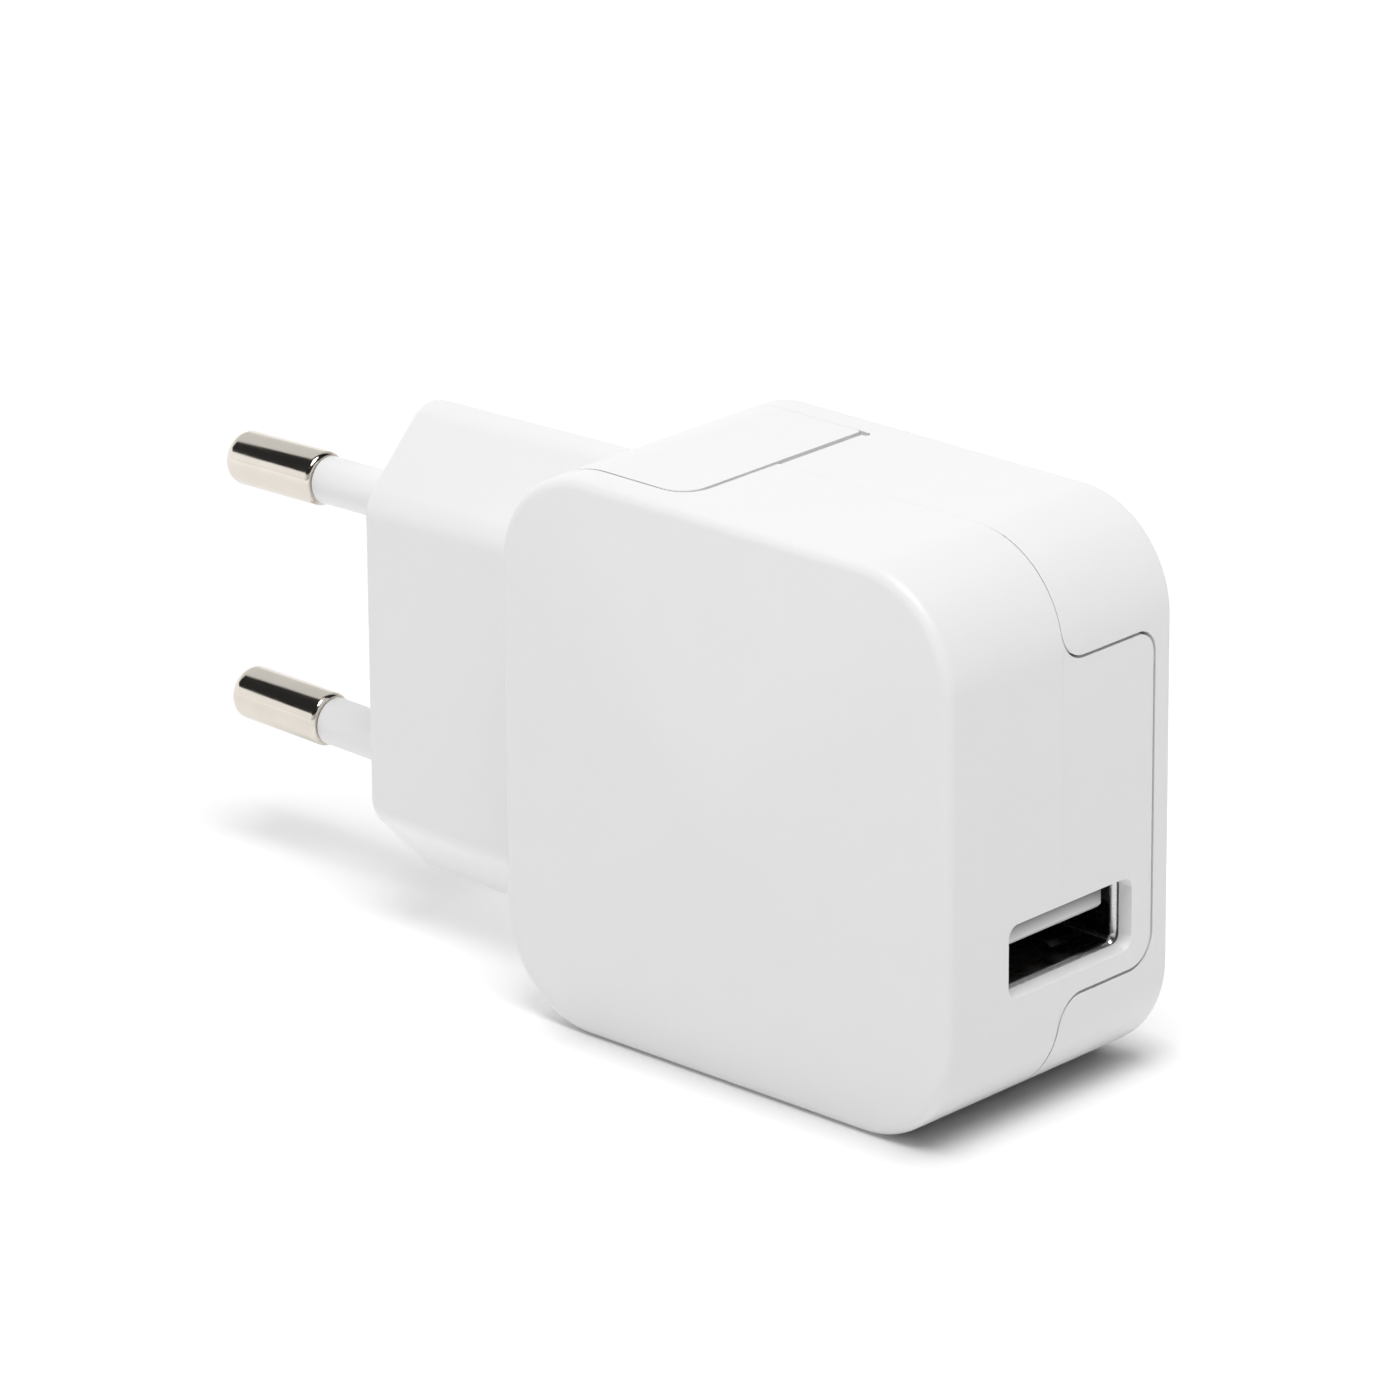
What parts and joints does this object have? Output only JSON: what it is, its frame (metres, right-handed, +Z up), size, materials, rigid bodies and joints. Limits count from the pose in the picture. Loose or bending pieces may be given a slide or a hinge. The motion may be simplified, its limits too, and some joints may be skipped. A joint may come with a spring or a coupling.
{
  "type": "usb wall charger",
  "caption": "Rounded-square USB wall charger with a slide-off two-pin euro plug head, two welded shells, one USB-A socket and a small switching supply inside.",
  "frame": {"origin": "under the middle of the whole charger, plug pins included, on the plane that the body stands on", "axes": "+X towards the USB socket wall, -X along the plug pins, -Y towards the front big face, +Z up"},
  "size_m": [0.0782, 0.0256, 0.0406],
  "materials": {
    "white_plastic": "fine moulded texture, satin",
    "sleeve_plastic": "smooth satin",
    "nickel": "turned and nickel plated",
    "steel": "bright rolled sheet",
    "grey_plastic": "satin",
    "brass": "stamped",
    "gold_contact": "plated, bright",
    "board": "solder mask over glass laminate",
    "capacitor_sleeve": "shrunk film sleeve",
    "ferrite": "sintered, matte",
    "bobbin_black": "moulded",
    "copper": null,
    "yellow_tape": "polyester tape",
    "fuse_ceramic": "ceramic tube",
    "ceramic_blue": "dipped resin coat",
    "chip_black": "moulded epoxy",
    "barrier_film": "polyester film",
    "jacket_front": "brown wire insulation",
    "jacket_rear": "blue wire insulation"
  },
  "bodies": {
    "charger_body": {"front_shell": "white_plastic", "rear_shell": "white_plastic", "inlet_pin_front": "nickel", "inlet_pin_rear": "nickel", "lock_stud": "steel", "usb_shell": "steel", "inlet_housing": "grey_plastic", "usb_insulator": "grey_plastic", "usb_contact_1": "gold_contact", "usb_contact_2": "gold_contact", "usb_contact_3": "gold_contact", "usb_contact_4": "gold_contact", "usb_board": "board", "main_board": "board", "input_capacitor_upper": "capacitor_sleeve", "input_capacitor_lower": "capacitor_sleeve", "output_capacitor_upper": "capacitor_sleeve", "output_capacitor_lower": "capacitor_sleeve", "transformer_core_upper": "ferrite", "transformer_core_lower": "ferrite", "choke_core": "ferrite", "transformer_bobbin": "bobbin_black", "primary_winding": "copper", "secondary_winding": "copper", "choke_winding": "copper", "winding_tape": "yellow_tape", "input_fuse": "fuse_ceramic", "y_capacitor": "ceramic_blue", "bridge_rectifier": "chip_black", "control_chip": "chip_black", "optocoupler": "chip_black", "output_rectifier": "chip_black", "insulation_barrier": "barrier_film", "inlet_wire_front": "jacket_front", "inlet_wire_rear": "jacket_rear"},
    "plug_head": {"plug_head_shell": "white_plastic", "plug_base_plate": "white_plastic", "socket_block": "grey_plastic", "socket_contact_upper": "brass", "socket_contact_lower": "brass", "prong_pin_upper": "nickel", "prong_pin_lower": "nickel", "prong_sleeve_upper": "sleeve_plastic", "prong_sleeve_lower": "sleeve_plastic"}
  },
  "joints": [
    {"name": "plug_head_slide", "type": "slide", "parent": "charger_body", "child": "plug_head", "axis": [-1, 0, 0], "range_m": [0, 0.024]}
  ]
}
